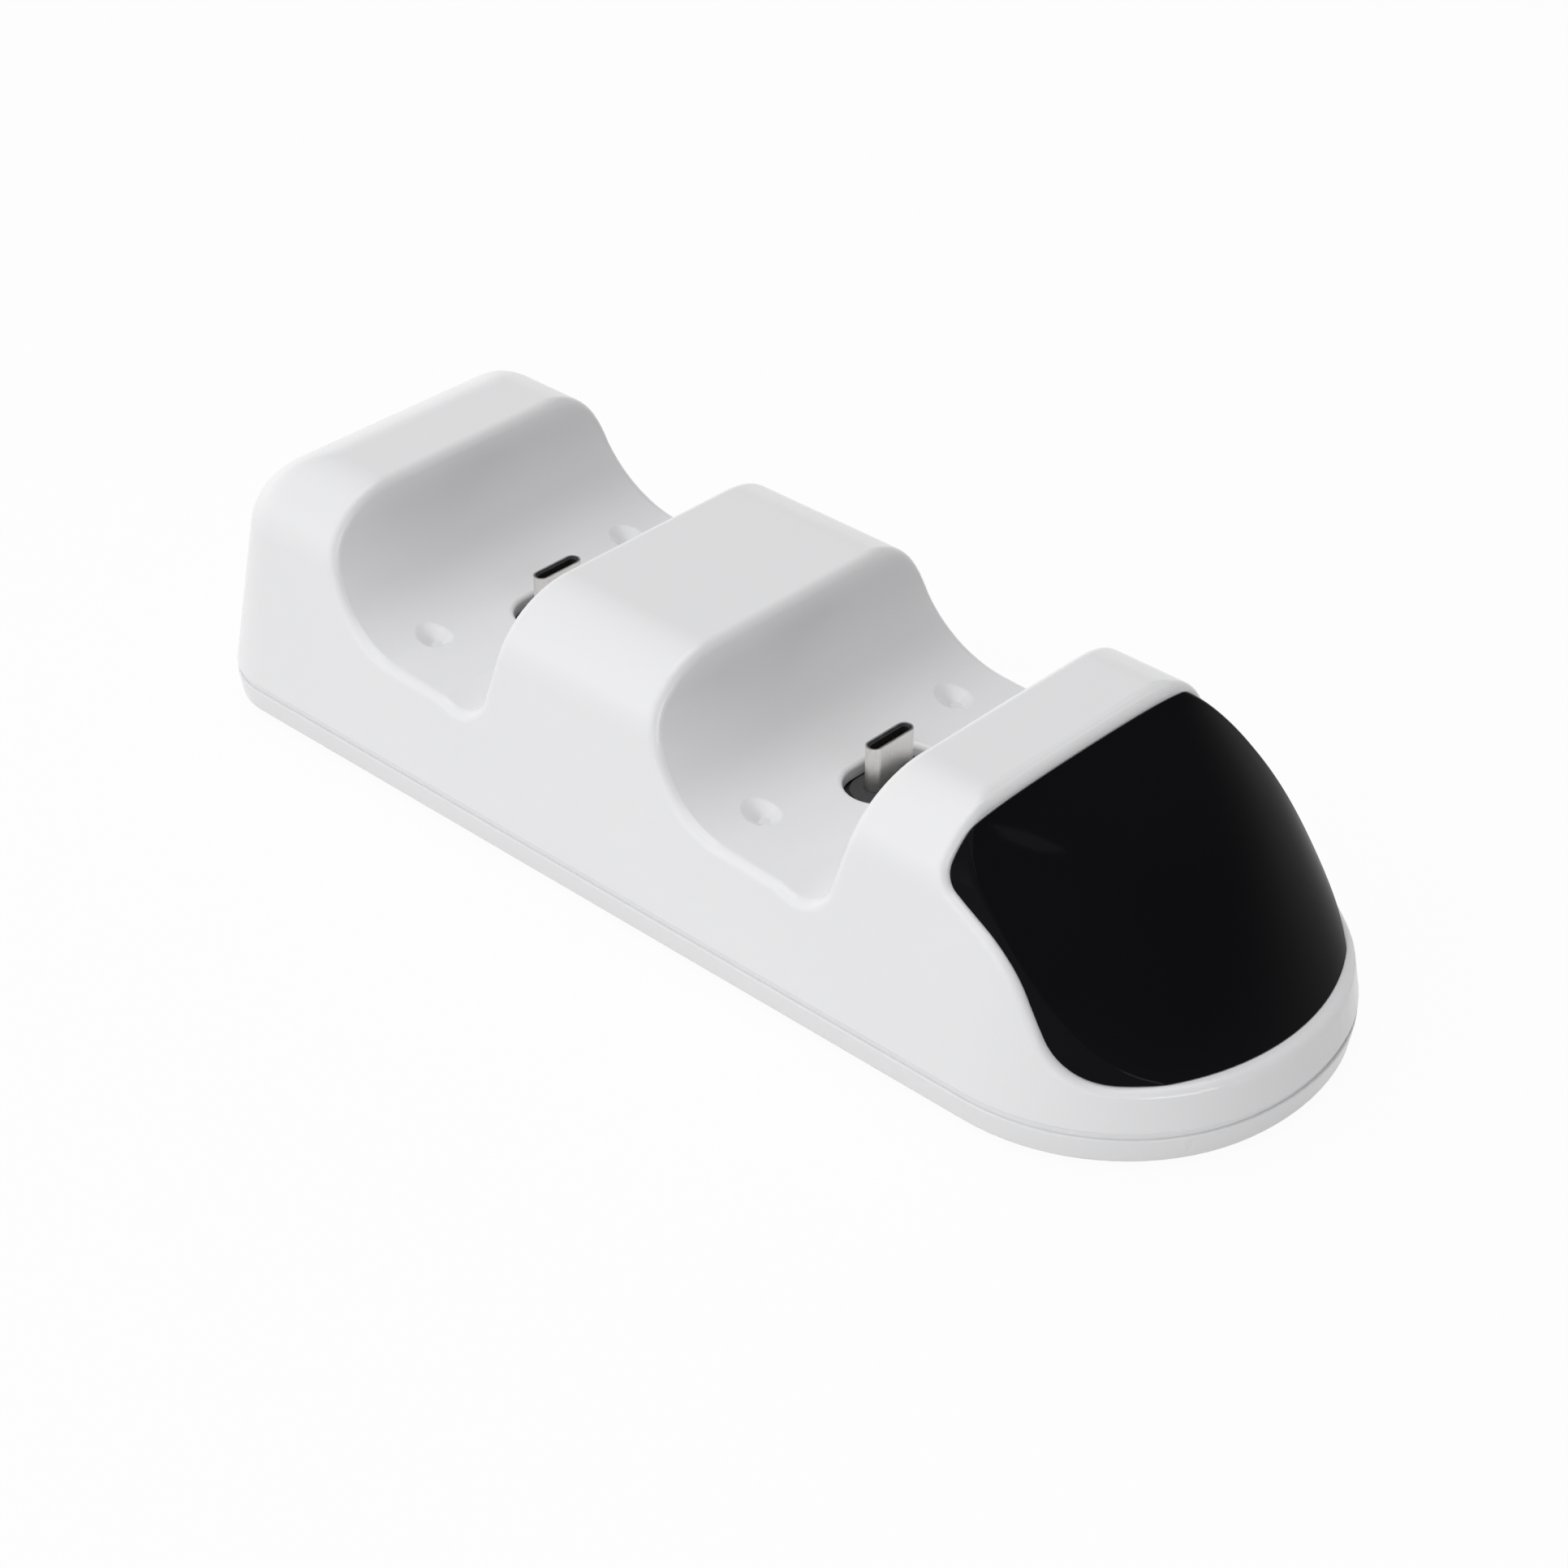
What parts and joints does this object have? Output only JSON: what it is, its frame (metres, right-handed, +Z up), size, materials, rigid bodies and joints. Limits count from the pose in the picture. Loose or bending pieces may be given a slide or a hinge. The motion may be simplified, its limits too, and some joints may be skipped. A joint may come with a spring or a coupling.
{
  "type": "controller charging dock",
  "caption": "White charging dock for hand-held controllers: cross ridges with open saddles, an upright plug in each saddle and a smoked window in the nose.",
  "frame": {"origin": "on the table, under the middle of the housing", "axes": "+X across the dock, +Y towards its rear with the power inlet, so the nose points along -Y, +Z up"},
  "size_m": [0.0614, 0.1744, 0.0384],
  "materials": {
    "white_abs": "gloss",
    "smoked_polycarbonate": "gloss",
    "plug_steel": "satin",
    "black_nylon": "matte",
    "contact_copper": "satin",
    "board": "satin",
    "chip_epoxy": "matte",
    "ceramic": "satin",
    "resistor_film": "satin",
    "lamp": "gloss",
    "clear_acrylic": "gloss",
    "plated_screw_steel": "satin",
    "foot_rubber": "matte"
  },
  "bodies": {
    "root": {"board_screws": "plated_screw_steel", "bottom_cover": "white_abs", "capacitors": "ceramic", "case_screws": "plated_screw_steel", "charge_chips": "chip_epoxy", "front_left_foot": "foot_rubber", "front_plug_contacts": "contact_copper", "front_plug_holder": "black_nylon", "front_plug_insulator": "black_nylon", "front_plug_shell": "plug_steel", "front_right_foot": "foot_rubber", "front_window": "smoked_polycarbonate", "indicator_lamps": "lamp", "inlet_shell": "plug_steel", "inlet_tongue": "black_nylon", "light_guide": "clear_acrylic", "main_board": "board", "rear_left_foot": "foot_rubber", "rear_plug_contacts": "contact_copper", "rear_plug_holder": "black_nylon", "rear_plug_insulator": "black_nylon", "rear_plug_shell": "plug_steel", "rear_right_foot": "foot_rubber", "resistors": "resistor_film", "top_shell": "white_abs"}
  },
  "joints": []
}
